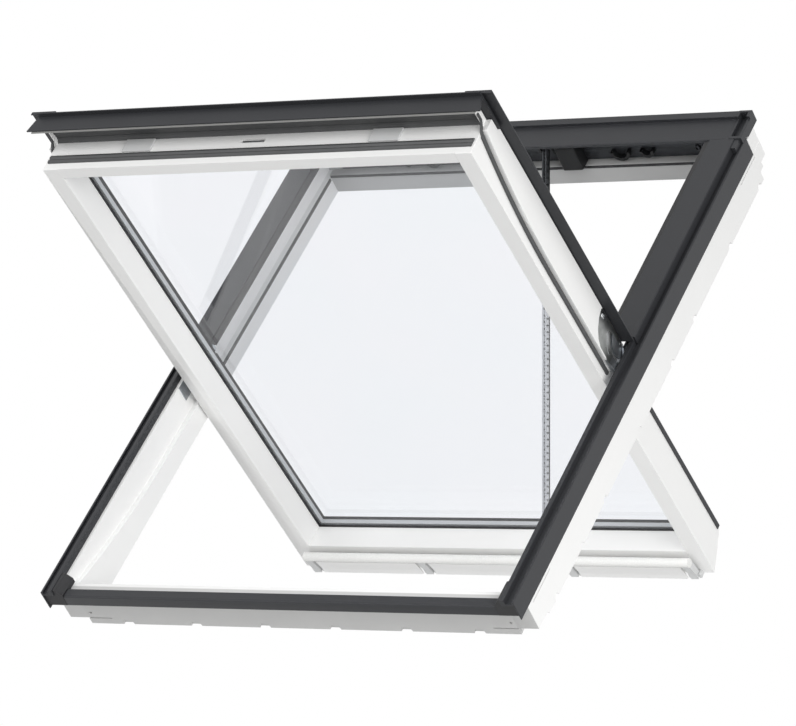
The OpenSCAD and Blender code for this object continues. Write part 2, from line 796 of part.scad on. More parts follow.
module sash_bottom_cover() {
  z0 = -nose_d;
  z1 = z0 + cover_t;
  y1 = nose_y - nose_t;
  y2 = cover_y - 0.4;
  color("#4f4f51") on_sash() {
    along_x(-nose_x, nose_x, [[y2, z0], [y2, z1], [y1 - drip + 1, z1], [y1 - drip, z1 - 1], [y1 - drip,
      z0]]);
    along_y(y1, nose_y, [[-nose_x - nose_spread, z0 - nose_h], [nose_x + nose_spread, z0 - nose_h],
      [nose_x, z0 + eps], [-nose_x, z0 + eps]]);
    along_x(-glass_x + 1, glass_x - 1, [[y2 - 2, z0 + eps], [y2 - 2, -glass_d + 0.3], [y2,
      -glass_d + 0.3], [y2, z0 + eps]]);
  }
}

module drip_seal() {
  z0 = -nose_d - nose_h;
  color("#b9b9b7") on_sash() along_x(-nose_x, nose_x, [[nose_y, z0 - 2], [nose_y + 1.2, z0 - 2.5],
    [nose_y + 1.2, z0 + 5],
    [nose_y, z0 + 5]]);
}

module sash_cover() {
  z1 = cover_z + cover_t;
  z2 = -glass_d + 0.3;
  x0 = glass_x - 0.4;
  x1 = glass_x + 4;
  tip = nose_y - nose_t - 2.5;
  along_y(cover_y, split - 3, [[lap_x, z2], [x0 + 2, z2], [x0 + 2, cover_z], [cover_x, cover_z],
    [cover_x, z1 - 0.8], [cover_x - 0.8, z1], [x0, z1], [x0, z2 + edge_t], [lap_x, z2 + edge_t]]);
  along_y(tip, cover_y + eps, [[x1, cover_z], [cover_x, cover_z], [cover_x, z1 - 0.8], [cover_x - 0.8,
    z1], [x1, z1]]);
  translate([x1, tip, cover_z - cover_t]) cube([cover_x - x1, 1.5, cover_t + eps]);
}

module sash_cover_right() {
  color("#3f3f41") on_sash() sash_cover();
}

module sash_cover_left() {
  color("#3f3f41") on_sash() flip() sash_cover();
}

module edge_cover() {
  z1 = -glass_d + 0.3;
  z2 = z1 + edge_t;
  x1 = xs + 1.5;
  along_y(9, sash_up_out - 4, [[lap_x, z1], [xs + 0.2, z1], [xs + 0.2, -6 - rim_h], [x1, -6 - rim_h], [x1,
    -6.6],
    [x1 - 0.6, -6], [x1 - rim_w, -6], [x1 - rim_w, z2], [lap_x, z2]]);
}

module edge_cover_right() {
  color("#454547") on_sash() edge_cover();
}

module edge_cover_left() {
  color("#454547") on_sash() flip() edge_cover();
}

module head_edge_cover() {
  z1 = -glass_d + 0.3;
  y0 = rail_y + 3;
  color("#454547") on_sash() translate([-lap_x + 0.4, y0, z1])
    cube([2 * lap_x - 0.8, sash_up_out - 4 - y0, edge_t]);
}

module sash_gasket() {
  up = [for (i = [0:14]) let (y = -sash_low + 4 + (sash_low + 6) * i / 14) [y, seal_at(y) + seal_w / 2]];
  low = [for (i = [14:-1:0]) let (y = -sash_low + 4 + (sash_low + 6) * i / 14) [y, seal_at(y)
    - seal_w / 2]];
  along_x(xs, xs + seal_t, concat(up, low));
}

module sash_gasket_right() {
  color("#3a3a3a") on_sash() sash_gasket();
}

module sash_gasket_left() {
  color("#3a3a3a") on_sash() flip() sash_gasket();
}

module lower_gasket() {
  y0 = -sash_low;
  color("#3a3a3a") on_sash() along_x(-xs + 4, xs - 4, [[y0, -41], [y0 - 2, -42], [y0 - 3.2, -46],
    [y0 - 1.4, -49],
    [y0 - 3.2, -52], [y0 - 2, -55], [y0, -56]]);
}

module upper_gasket() {
  y0 = -sash_low;
  color("#3a3a3a") on_sash() along_x(-xs + 2, xs - 2, [[y0, -8], [y0 - 6, -9], [y0 - 7.5, -12], [y0 - 4,
    -13], [y0, -16]]);
}

module hinge_plate() {
  xp = xs + hinge_off;
  span_a = 188;
  span_b = 352;
  rotate([90, 0, 90]) difference() {
    union() {
      translate([0, 0, xp]) linear_extrude(hinge_t) difference() {
        circle(r = hinge_r, $fn = 128);
        translate([-hinge_r - 1, -3]) square([2 * hinge_r + 2, hinge_r + 4]);
      }
      translate([0, 0, xs + seal_t + 0.4]) linear_extrude(xp - xs - seal_t - 0.4 + eps) difference() {
        circle(r = hinge_r - 1, $fn = 128);
        circle(r = slot_r + slot_w / 2 + 3, $fn = 128);
        translate([-hinge_r - 1, -3]) square([2 * hinge_r + 2, hinge_r + 4]);
      }
      translate([0, 0, xs]) linear_extrude(xp - xs + eps) difference() {
        circle(r = hinge_r - 1, $fn = 128);
        circle(r = slot_r + slot_w / 2 + 3, $fn = 128);
        translate([-hinge_r - 1, -28]) square([2 * hinge_r + 2, hinge_r + 30]);
        translate([-hinge_r - 1, -hinge_r - 1]) square([2 * hinge_r + 2, hinge_r + 1 - 42.6]);
      }
    }
    translate([0, 0, xp - 1]) rotate([0, 0, span_a]) rotate_extrude(angle = span_b - span_a)
      translate([slot_r - slot_w / 2, 0]) square([slot_w, hinge_t + 2]);
  }
}

module hinge_plate_right() {
  color("#b4b6b8") on_sash() hinge_plate();
}

module hinge_plate_left() {
  color("#b4b6b8") on_sash() flip() hinge_plate();
}

module rail_clips() {
  y0 = -sash_low;
  color("#dededb") on_sash() for (s = [-1, 1])
    translate([s * (xs - clip_in) - clip_w / 2, y0 - clip_t, -40]) cube([clip_w, clip_t, clip_h]);
}

module chain_bracket() {
  a = atan(head_fall);
  color("#a4a6a8") on_sash() {
    translate([chain_x - 20, head_at(-32), -32]) rotate([a, 0, 0]) translate([0, 0, -18]) cube([40, 3, 36]);
    for (s = [-1, 1])
      translate([chain_x + s * 7 - 1.5, 0, 0]) rotate([90, 0, 90]) linear_extrude(3) {
        polygon([[head_at(-44) + 2, -44], [head_at(-20) + 2, -20], [hook_y + 1, hook_z + 4], [hook_y + 1,
          hook_z - 4]]);
        translate([hook_y, hook_z]) circle(r = 4);
      }
    translate([chain_x - 7, hook_y, hook_z]) rotate([0, 90, 0]) cylinder(r = 1.8, h = 14);
  }
}

module bar_lugs() {
  color("#e9e9e6") on_sash() for (x = arm_xs)
    translate([x, 0, 0]) {
      for (s = [-1, 1])
        difference() {
          translate([s * (arm_w / 2 + 2.4) - 1.9, bar_hinge_y - 4, -room_d - 9.6]) cube([3.8, 8, 9.6]);
          translate([s * (arm_w / 2 + 2.4), bar_hinge_y, bar_hinge_z]) rotate([0, 90, 0])
            cylinder(r = bar_pin_r, h = 8, center = true);
        }
      translate([-arm_w / 2 - 4, bar_hinge_y, bar_hinge_z]) rotate([0, 90, 0]) cylinder(r = bar_pin_r,
        h = arm_w + 8);
    }
}

module control_bar() {
  color("#c9cbcd") on_sash() translate([-bar_l / 2, bar_y, bar_z]) rotate([0, 90, 0]) cylinder(r = bar_r,
    h = bar_l);
}

module bar_arms() {
  color("#eeeeeb") on_sash() for (x = arm_xs)
    translate([x - arm_w / 2, 0, 0]) rotate([90, 0, 90]) linear_extrude(arm_w) difference() {
      union() {
        translate([bar_hinge_y, bar_hinge_z]) circle(r = 3.8);
        polygon([[bar_hinge_y, bar_hinge_z + 3.4], [bar_hinge_y, bar_hinge_z - 3.8], [bar_hinge_y + 3,
          flap_z],
          [bar_hinge_y + 3, flap_z - flap_t], [bar_hinge_y - 6, flap_z - flap_t], [bar_y + bar_r - 0.1,
            bar_z - 2 - flap_t],
          [bar_y, bar_z - 5], [bar_y, bar_z + 6]]);
      }
      translate([bar_hinge_y, bar_hinge_z]) circle(r = bar_pin_r + bar_fit);
      translate([bar_y, bar_z]) circle(r = bar_r);
    }
}

module bar_flap() {
  e = arm_w / 2 + 5.4;
  y0 = bar_y + bar_r - 0.1;
  color("#f2f2ef") on_sash() for (i = [0:2])
    along_x(arm_xs[i] + e, arm_xs[i + 1] - e, [[y0, bar_z - 2], [bar_hinge_y - 6, flap_z],
      [bar_hinge_y + 3, flap_z],
      [bar_hinge_y + 3, flap_z - flap_t], [bar_hinge_y - 6, flap_z - flap_t], [y0, bar_z - 2 - flap_t]]);
}

// the chain hangs plumb from the exit, so it is drawn upright beside it
module drive_chain() {
  n = floor((chain_len - 2 * guide_r - 6) / chain_p);
  l0 = guide_r + 0.2;
  l1 = chain_len;
  color("#a9acb0") place() translate([chain_x, exit_y, exit_z]) rotate([-pitch, 0, 0])
    rotate([0, 90, 0]) translate([0, 0, -chain_t / 2]) linear_extrude(chain_t) difference() {
      union() {
        translate([l0, -chain_w / 2 + 2]) square([l1 - l0, chain_w - 4]);
        for (i = [0:n - 1])
          translate([l0 + chain_p * (i + 0.5) - 2.6, -chain_w / 2]) square([5.2, chain_w]);
      }
      for (i = [1:n - 1])
        translate([l0 + chain_p * i, 0]) circle(r = 1.7, $fn = 24);
      translate([l1, 0]) circle(r = 2.4, $fn = 24);
    }
}

module chain_guide() {
  color("#3b3c3e") place() translate([chain_x, exit_y, exit_z]) rotate([-pitch, 0, 0])
    rotate([0, 90, 0]) translate([0, 0, -7.5]) linear_extrude(15) difference() {
      circle(r = guide_r);
      circle(r = chain_pin_r + guide_fit);
    }
}

frame_stile_left();
frame_stile_right();
frame_rail_bottom();
frame_rail_top();
bottom_cover();
side_cover_left();
side_cover_right();
upper_cover_left();
upper_cover_right();
upper_lip_left();
upper_lip_right();
head_casing();
casing_cap_left();
casing_cap_right();
corner_seal_left();
corner_seal_right();
frame_gasket_left();
frame_gasket_right();
head_gasket();
lock_plate();
lock_keeps();
chain_motor();
exit_bracket();
hinge_anchor_left();
hinge_anchor_right();
sash_stile_left();
sash_stile_right();
sash_rail_bottom();
sash_rail_top();
inner_pane();
outer_pane();
spacer_bar();
pane_seal();
glazing_gasket();
sash_bottom_cover();
drip_seal();
sash_cover_left();
sash_cover_right();
edge_cover_left();
edge_cover_right();
head_edge_cover();
sash_gasket_left();
sash_gasket_right();
lower_gasket();
upper_gasket();
hinge_plate_left();
hinge_plate_right();
rail_clips();
chain_bracket();
bar_lugs();
control_bar();
bar_arms();
bar_flap();
drive_chain();
chain_guide();
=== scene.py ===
"""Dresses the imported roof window: finishes, soft edges, small forms, studio and camera."""
import math

import bmesh
import bpy
from mathutils import Matrix, Vector


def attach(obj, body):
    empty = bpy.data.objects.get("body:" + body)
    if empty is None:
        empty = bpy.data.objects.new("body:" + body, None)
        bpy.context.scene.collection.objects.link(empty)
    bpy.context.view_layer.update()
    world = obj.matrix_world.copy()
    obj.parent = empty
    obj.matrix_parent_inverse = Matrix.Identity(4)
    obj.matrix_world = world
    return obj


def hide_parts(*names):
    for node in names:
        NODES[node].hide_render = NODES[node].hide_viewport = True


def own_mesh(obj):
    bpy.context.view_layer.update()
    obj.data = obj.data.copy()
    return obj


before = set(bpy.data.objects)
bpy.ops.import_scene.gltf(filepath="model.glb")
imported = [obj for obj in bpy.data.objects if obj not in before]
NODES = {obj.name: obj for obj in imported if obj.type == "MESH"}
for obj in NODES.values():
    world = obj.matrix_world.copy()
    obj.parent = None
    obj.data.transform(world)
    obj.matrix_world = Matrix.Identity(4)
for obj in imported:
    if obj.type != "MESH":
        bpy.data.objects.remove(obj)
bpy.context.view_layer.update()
scene = bpy.context.scene

# The window's own axes: across, up the slope and out of the roof, with the pivot as their origin.
# The sash has the same axes when it is closed.
MM = 0.001
PITCH = math.radians(45.0)
OPENED = math.radians(85.44)
PIVOT = Vector((0.0, 0.289207, 0.374059))
ON_FRAME = Matrix.Translation(PIVOT) @ Matrix.Rotation(PITCH, 4, "X")
ON_SASH = Matrix.Translation(PIVOT) @ Matrix.Rotation(PITCH - OPENED, 4, "X")
UP_ROOF = (0.0, math.cos(PITCH), math.sin(PITCH))
SIDES = (("left", -1), ("right", 1))
# Edges that turn by more than this are rounded.
SHARP = math.radians(35.0)
ROUNDING_STEPS = 2


# --- Finishes -----------------------------------------------------------------------------------

def linear(hex_colour):
    """sRGB hex to the linear RGBA that a shader socket takes."""
    parts = [int(hex_colour[i:i + 2], 16) / 255 for i in (1, 3, 5)]
    rgb = [c / 12.92 if c <= 0.04045 else ((c + 0.055) / 1.055) ** 2.4 for c in parts]
    return (*rgb, 1.0)


def put(tree, kind, sockets=None, **settings):
    """Adds a node with its settings, and sets or links its sockets."""
    made = tree.nodes.new(kind)
    for key, value in settings.items():
        setattr(made, key, value)
    for key, value in (sockets or {}).items():
        if isinstance(value, bpy.types.NodeSocket):
            tree.links.new(value, made.inputs[key])
        else:
            made.inputs[key].default_value = value
    return made


def blend(tree, share, first, second):
    """Colour that goes from the first to the second one as the share goes from 0 to 1."""
    mix = put(tree, "ShaderNodeMix", {0: share, 6: first, 7: second}, data_type="RGBA")
    return mix.outputs[2]


def per_mm(size):
    """Texture scale at which one feature is about this many millimetres wide."""
    return 1.0 / (size * MM)


def new_material(name):
    """A material without nodes, with its node tree and the place on the object."""
    made = bpy.data.materials.new(name)
    made.use_nodes = True
    tree = made.node_tree
    tree.nodes.clear()
    return made, tree, put(tree, "ShaderNodeTexCoord").outputs["Object"]


def noise(tree, place, size_mm, detail):
    """Share between 0 and 1 that wanders over patches of this size."""
    sockets = {"Vector": place, "Scale": per_mm(size_mm), "Detail": detail}
    return put(tree, "ShaderNodeTexNoise", sockets).outputs["Fac"]


DRIFT_DETAIL = 3.0
GRAIN_DETAIL = 2.0
GRAIN_DEPTH_MM = 0.2


def finish(name, light, dark, patch_mm, grain_mm, rough, bump, metallic=0.0, coat=None,
           **constants):
    """A finish with a slow drift of colour, a fine grain in its gloss and a grain in relief.

    A coat is a second colour that sets in between two distances up the roof, in mm.
    """
    made, tree, place = new_material(name)
    drift = noise(tree, place, patch_mm, DRIFT_DETAIL)
    grain = noise(tree, place, grain_mm, GRAIN_DETAIL)
    colour = blend(tree, drift, linear(light), linear(dark))
    if coat:
        coat_colour, start, full = coat
        up_roof = put(tree, "ShaderNodeVectorMath", {0: place, 1: UP_ROOF},
                      operation="DOT_PRODUCT").outputs["Value"]
        share = put(tree, "ShaderNodeMapRange",
                    {"Value": up_roof, "From Min": start * MM, "From Max": full * MM})
        colour = blend(tree, share.outputs["Result"], colour, linear(coat_colour))
    gloss = put(tree, "ShaderNodeMapRange",
                {"Value": grain, "To Min": rough[0], "To Max": rough[1]})
    relief = put(tree, "ShaderNodeBump",
                 {"Height": grain, "Strength": bump, "Distance": GRAIN_DEPTH_MM * MM})
    shader = put(tree, "ShaderNodeBsdfPrincipled", {
        "Base Color": colour, "Roughness": gloss.outputs["Result"],
        "Normal": relief.outputs["Normal"], "Metallic": metallic,
    })
    for key, value in constants.items():
        shader.inputs[key.replace("_", " ")].default_value = value
    put(tree, "ShaderNodeOutputMaterial", {"Surface": shader.outputs["BSDF"]})
    return made


# Each line: light and dark colour, size of the patches and of the grain in mm, range of roughness,
# strength of the relief.
# Moulded polyurethane, white: a satin skin with a faint orange peel.
white_polyurethane = finish(
    "white_polyurethane", "#fbfbfa", "#f6f6f5", 90, 2.2, (0.34, 0.44), 0.10)
# The head of the frame: the same polyurethane with a duller skin, painted greyer as painted shade.
head_polyurethane_painted_shade = finish(
    "head_polyurethane_painted_shade", "#bebebd", "#b6b6b5", 70, 2.2, (0.44, 0.56), 0.12)
# The sill: the duller skin on its outer face, painted grey there as painted shade, white from
# there inwards.
sill_polyurethane_painted_shade = finish(
    "sill_polyurethane_painted_shade", "#d1d1d0", "#c9c9c8", 70, 2.2, (0.44, 0.56), 0.12,
    coat=("#f8f8f7", 4, 6))
# Stiles of the frame: white, with the sill's grey painted shade on their lower end faces.
stile_polyurethane_shaded_ends = finish(
    "stile_polyurethane_shaded_ends", "#fbfbfa", "#f6f6f5", 90, 2.2, (0.34, 0.44), 0.10,
    coat=("#cdcdcc", 0.9, 0.4))
# Lacquered aluminium sheet, dark grey: an even satin with the fine grain of the lacquer.
grey_lacquered_aluminium = finish(
    "grey_lacquered_aluminium", "#36373a", "#313235", 60, 1.2, (0.40, 0.50), 0.08,
    Specular_IOR_Level=0.3)
# The same sheet on the sash, painted a shade darker: painted shade, as the sash is seen from its
# unlit side.
sash_aluminium_painted_shade = finish(
    "sash_aluminium_painted_shade", "#333437", "#2d2e31", 60, 1.2, (0.42, 0.52), 0.08,
    Specular_IOR_Level=0.3)
# Extruded EPDM rubber: dull black with a slight bloom.
epdm_rubber = finish(
    "epdm_rubber", "#262628", "#1c1c1e", 25, 1.5, (0.5, 0.66), 0.15)
# The softer, paler seals of the sash, which catch the light along their ridges.
grey_epdm = finish(
    "grey_epdm", "#4f5051", "#3f4041", 25, 1.5, (0.42, 0.58), 0.12)
# Spacer bar of the glass unit: pale, dull aluminium behind the pane.
dull_aluminium = finish(
    "dull_aluminium", "#d9dbdd", "#cfd1d3", 40, 2.0, (0.5, 0.65), 0.05)
# Grey silicone strip behind the drip edge: soft and dull.
grey_silicone = finish(
    "grey_silicone", "#8f8f8d", "#828280", 25, 1.5, (0.55, 0.7), 0.08)
# Lock plate, its screws and first links: dull steel, painted darker than the hinges as painted
# shade of the recess under the head casing.
dull_steel_painted_shade = finish(
    "dull_steel_painted_shade", "#3a3c3f", "#303235", 12, 2.0, (0.42, 0.55), 0.06, metallic=0.5)
# Clips, lugs and arms: moulded polyamide, white with a cast of grey, which on the arms is partly
# their own tone and partly painted shade.
grey_white_polyamide = finish(
    "grey_white_polyamide", "#dcdddd", "#d3d4d4", 20, 1.2, (0.36, 0.48), 0.08)
# White lacquered aluminium tube: glossy, with the faintest ripple.
white_lacquered_tube = finish(
    "white_lacquered_tube", "#f6f6f4", "#efefed", 40, 1.5, (0.22, 0.32), 0.04)
# Zinc-plated steel: cool grey with a fine spangle.
zinc_steel = finish(
    "zinc_steel", "#c2c5c9", "#a9adb2", 8, 2.0, (0.26, 0.40), 0.05, metallic=1.0)
# Screw heads and slides: zinc-plated steel, smoother than the plates.
bright_steel = finish(
    "bright_steel", "#bdbfc0", "#8f9192", 4, 1.0, (0.18, 0.30), 0.03, metallic=1.0)
# Hinge faces: pressed, burnished steel, with clouds from light to dark.
burnished_steel = finish(
    "burnished_steel", "#b9bbba", "#6d6f6e", 14, 2.5, (0.22, 0.40), 0.06, metallic=1.0)
# Chain: galvanised links, pale and dull.
galvanised_links = finish(
    "galvanised_links", "#f0f1f2", "#e2e4e6", 5, 1.0, (0.40, 0.55), 0.05, metallic=0.15)
# Moulded polyamide, black: slightly mottled and matt.
black_polyamide = finish(
    "black_polyamide", "#1a1b1c", "#131415", 12, 1.0, (0.42, 0.55), 0.12,
    Specular_IOR_Level=0.3)

DRAW_LINES_MM = 220
DRAW_LINES_DETAIL = 1.0
DRAW_LINES_RELIEF = 0.02
DRAW_LINES_DEPTH_MM = 1
# Stronger than one skin of glass, because one skin mirrors for both sides of a pane.
PANE_IOR = 1.75
PANE_ROUGHNESS = 0.02


def pane_glass():
    """Float glass: clear with a faint cool tint and soft draw lines, a mirror only at its skin."""
    made, tree, place = new_material("float_glass")
    lines = noise(tree, place, DRAW_LINES_MM, DRAW_LINES_DETAIL)
    tint = blend(tree, lines, linear("#fefeff"), linear("#fdfeff"))
    relief = put(tree, "ShaderNodeBump", {
        "Height": lines, "Strength": DRAW_LINES_RELIEF, "Distance": DRAW_LINES_DEPTH_MM * MM,
    })
    # Light that meets a skin from inside the pane passes it unhindered.
    edge = put(tree, "ShaderNodeFresnel", {"IOR": PANE_IOR}).outputs["Fac"]
    inside = put(tree, "ShaderNodeNewGeometry").outputs["Backfacing"]
    outer = put(tree, "ShaderNodeMath", {0: 1.0, 1: inside}, operation="SUBTRACT")
    gloss = put(tree, "ShaderNodeMath", {0: edge, 1: outer.outputs["Value"]},
                operation="MULTIPLY")
    through = put(tree, "ShaderNodeBsdfTransparent", {"Color": tint})
    mirror = put(tree, "ShaderNodeBsdfAnisotropic",
                 {"Roughness": PANE_ROUGHNESS, "Normal": relief.outputs["Normal"]})
    both = put(tree, "ShaderNodeMixShader", {
        0: gloss.outputs["Value"], 1: through.outputs["BSDF"], 2: mirror.outputs["BSDF"],
    })
    put(tree, "ShaderNodeOutputMaterial", {"Surface": both.outputs["Shader"]})
    return made


float_glass = pane_glass()

FINISHES = {
    head_polyurethane_painted_shade: "frame_rail_top",
    sill_polyurethane_painted_shade: "frame_rail_bottom",
    stile_polyurethane_shaded_ends: "frame_stile_left frame_stile_right",
    white_polyurethane:
        "sash_stile_left sash_stile_right sash_rail_bottom sash_rail_top bar_flap",
    grey_white_polyamide: "rail_clips bar_lugs bar_arms",
    grey_lacquered_aluminium:
        "bottom_cover side_cover_left side_cover_right upper_cover_left upper_cover_right "
        "head_casing casing_cap_left casing_cap_right",
    sash_aluminium_painted_shade:
        "sash_bottom_cover sash_cover_left sash_cover_right edge_cover_left edge_cover_right "
        "head_edge_cover",
    epdm_rubber:
        "upper_lip_left upper_lip_right corner_seal_left corner_seal_right frame_gasket_left "
        "frame_gasket_right head_gasket glazing_gasket pane_seal",
    grey_epdm: "sash_gasket_left sash_gasket_right lower_gasket upper_gasket",
    dull_aluminium: "spacer_bar",
    grey_silicone: "drip_seal",
    dull_steel_painted_shade: "lock_plate",
    zinc_steel:
        "hinge_anchor_left hinge_anchor_right hinge_plate_left hinge_plate_right "
        "chain_bracket drive_chain",
    black_polyamide: "lock_keeps chain_motor chain_guide exit_bracket",
    white_lacquered_tube: "control_bar",
    float_glass: "inner_pane outer_pane",
}
for material, names in FINISHES.items():
    for name in names.split():
        mesh = NODES[name].data
        mesh.materials.clear()
        mesh.materials.append(material)


# --- Soft edges of the solids -------------------------------------------------------------------

# Moulded and folded edges are rounded: the solids' sharp edges get a small bevel, in mm.
SOFT_EDGES_MM = {
    2.0: "chain_motor",
    1.6: "frame_stile_left frame_stile_right frame_rail_bottom "
         "sash_stile_left sash_stile_right sash_rail_bottom sash_rail_top",
    1.2: "frame_rail_top sash_gasket_left sash_gasket_right",
    0.6: "bar_flap",
    0.5: "sash_bottom_cover sash_cover_left sash_cover_right "
         "frame_gasket_left frame_gasket_right lock_plate",
    0.4: "bottom_cover side_cover_left side_cover_right upper_cover_left upper_cover_right "
         "head_casing rail_clips bar_lugs",
}
# These run in long shallow curves, which keep all their faces.
CURVED = ("sash_stile", "sash_gasket")
WELD_MM = 0.01
FLAT = math.radians(1.0)
for width, names in SOFT_EDGES_MM.items():
    for name in names.split():
        node = NODES[name]
        weld = node.modifiers.new("join", "WELD")
        weld.merge_threshold = WELD_MM * MM
        if not name.startswith(CURVED):
            flat = node.modifiers.new("flat_faces", "DECIMATE")
            flat.decimate_type = "DISSOLVE"
            flat.angle_limit = FLAT
        soft = node.modifiers.new("soft_edges", "BEVEL")
        soft.width = width * MM
        soft.segments = ROUNDING_STEPS
        soft.limit_method = "ANGLE"
        soft.angle_limit = SHARP
        soft.use_clamp_overlap = True


# --- Small forms, drawn in mm -------------------------------------------------------------------

def outline_plate(shape, outline, x0, x1):
    """Adds a plate with this outline across y and z, between two places along x."""
    face = shape.faces.new([shape.verts.new((x0, y, z)) for y, z in outline])
    drawn = bmesh.ops.extrude_face_region(shape, geom=[face])["geom"]
    ends = [v for v in drawn if isinstance(v, bmesh.types.BMVert)]
    bmesh.ops.translate(shape, vec=(x1 - x0, 0, 0), verts=ends)


MERGE_MM = 0.001


def turned(shape, profile, place, turn=None, steps=20):
    """Adds a profile of (radius, length) spun about x, then turned and set in place."""
    points = [shape.verts.new((length, 0, radius)) for radius, length in profile]
    lines = [shape.edges.new(pair) for pair in zip(points, points[1:])]
    before = set(shape.verts) - set(points)
    bmesh.ops.spin(shape, geom=points + lines, cent=(0, 0, 0), axis=(1, 0, 0), angle=math.tau,
                   steps=steps, use_merge=True)
    own = [v for v in shape.verts if v not in before]
    bmesh.ops.remove_doubles(shape, verts=own, dist=MERGE_MM)
    own = [v for v in shape.verts if v not in before]
    if turn:
        bmesh.ops.transform(shape, matrix=turn, verts=own)
    bmesh.ops.translate(shape, vec=place, verts=own)


# Half section of a pan head with a round drive recess, in shares of its radius and height.
PAN_HEAD = [(1, 0), (1, 0.3), (0.88, 0.72), (0.66, 1), (0.46, 1), (0.4, 0.35), (0.12, 0.2),
            (0, 0.2)]


def pan_head(radius, height):
    """Profile of a pan head screw of this size."""
    return [(r * radius, h * height) for r, h in PAN_HEAD]


def piece(name, shape, where, body, material, bevel_mm=0.0, across=1):
    """Makes an object of a shape, rounds its edges and lets it move with a body."""
    if bevel_mm:
        sharp = [e for e in shape.edges
                 if len(e.link_faces) == 2 and e.calc_face_angle() > SHARP]
        bmesh.ops.bevel(shape, geom=sharp, offset=bevel_mm, offset_type="OFFSET",
                        segments=ROUNDING_STEPS, profile=0.5, affect="EDGES", material=-1,
                        clamp_overlap=True)
    to_metres = Matrix.Diagonal((across * MM, MM, MM, 1))
    bmesh.ops.transform(shape, matrix=where @ to_metres, verts=shape.verts)
    bmesh.ops.recalc_face_normals(shape, faces=shape.faces)
    mesh = bpy.data.meshes.new(name)
    shape.to_mesh(mesh)
    shape.free()
    mesh.materials.append(material)
    made = bpy.data.objects.new(name, mesh)
    scene.collection.objects.link(made)
    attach(made, body)
    return made


def plate_piece(name, outline, span, where, body, material, bevel_mm, across=1):
    """Makes a piece of one plate with this outline, between two places along x."""
    shape = bmesh.new()
    outline_plate(shape, outline, *span)
    return piece(name, shape, where, body, material, bevel_mm, across)


def arc(radius, start, end, count, centre=(0.0, 0.0)):
    """Points along an arc, angles in degrees."""
    turns = [math.radians(start + (end - start) * i / (count - 1)) for i in range(count)]
    return [(centre[0] + radius * math.cos(a), centre[1] + radius * math.sin(a)) for a in turns]


# Hinges: a crescent face plate outside the arc slot, with an arm to the pivot, a slide that lies
# on it and two screws.
HINGE_FACE = [(6, -2.6), (-69, -1.5), (-71, -5), (-68, -17), (-60, -31), (-49, -41.5),
              (-37, -46.5), (-5, -47.5)]
HINGE_FACE += arc(34, 263, 199, 15) + [(-25, -9), (2, -9), (8, -6)]
HINGE_FACE_X = (362.9, 363.4)
HINGE_SLIDE = arc(43, 204, 250, 16) + arc(37.5, 250, 204, 16)
HINGE_SLIDE_X = (363.2, 363.95)
SCREW_SEAT_X = 363.3
for side, across in SIDES:
    plate_piece(f"hinge_face_{side}", HINGE_FACE, HINGE_FACE_X, ON_SASH, "sash",
                burnished_steel, 0.2, across)
    plate_piece(f"hinge_slide_{side}", HINGE_SLIDE, HINGE_SLIDE_X, ON_SASH, "sash",
                bright_steel, 0.3, across)
    shape = bmesh.new()
    turned(shape, pan_head(5.2, 1.9), (SCREW_SEAT_X, -61.5, -9))
    turned(shape, pan_head(3.4, 0.5), (SCREW_SEAT_X, 1.0, -6))
    piece(f"hinge_screws_{side}", shape, ON_SASH, "sash", bright_steel, 0.0, across)

# Screws of the lock plate, which look down the roof, in the same darkened steel: painted shade.
DOWN_ROOF = Matrix.Rotation(math.radians(-90), 4, "Z")
LOCK_SCREWS = [(-293, 452.4, -41), (293, 452.4, -41)]
shape = bmesh.new()
for place in LOCK_SCREWS:
    turned(shape, pan_head(5.0, 2.6), place, DOWN_ROOF)
piece("lock_screws", shape, ON_FRAME, "frame", dull_steel_painted_shade)

# Chain: link plates in turn outside and inside each other, joined by pins, hanging plumb from its
# exit. The first links are painted dark: painted shade under the head casing.
EXIT = Vector((0.053, 0.604254, 0.676181))
LINK = 5.0
SHADED_LINKS = 14
ALL_LINKS = 118
FIRST_PIN_Z = -8.0
CHAIN_Y = -1.2
LINK_R = 4.4
LINK_T = 1.2
INNER_X = 1.2
OUTER_X = 2.6
PIN = [(0, -4), (1.5, -4), (1.8, -3.7), (1.8, 3.7), (1.5, 4), (0, 4)]
for name, first, last, material in (
    ("chain_top_painted_shade", 0, SHADED_LINKS, dull_steel_painted_shade),
    ("chain_links", SHADED_LINKS, ALL_LINKS, galvanised_links),
):
    shape = bmesh.new()
    for i in range(first, last):
        top = FIRST_PIN_Z - LINK * i
        link = arc(LINK_R, 35, 145, 5, (CHAIN_Y, top))
        link += arc(LINK_R, 215, 325, 5, (CHAIN_Y, top - LINK))
        x0 = OUTER_X if i % 2 else INNER_X
        for across in (-1, 1):
            outline_plate(shape, link, across * x0, across * (x0 + LINK_T))
        turned(shape, PIN, (0, CHAIN_Y, top), steps=10)
    chain = piece(name, shape, Matrix.Translation(EXIT), "chain", material)
    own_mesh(chain)
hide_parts("drive_chain")

# A black strip behind the links: painted shade that stands for the dark line of the chain's shaded
# side.
CHAIN_SHADE_STRIP = [(3.5, -8), (5.9, -8), (5.9, -598), (3.5, -598)]
shade_strip = plate_piece("chain_shade_strip", CHAIN_SHADE_STRIP, (-3.6, 3.9), Matrix.Translation(EXIT), "chain",
                   black_polyamide, 0.3)
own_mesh(shade_strip)

# Ribbed weather strip under the sash's bottom cover.
RIBS = [(-456, -6), (-471, -6), (-472, -8), (-469, -9), (-469, -10), (-472, -11), (-471.5, -13),
        (-468, -13.6), (-464, -12.6), (-459, -12.2), (-458.8, -8.6), (-456, -8.2)]
plate_piece("weather_strip", RIBS, (-352, 352), ON_SASH, "sash", grey_epdm, 0.3)

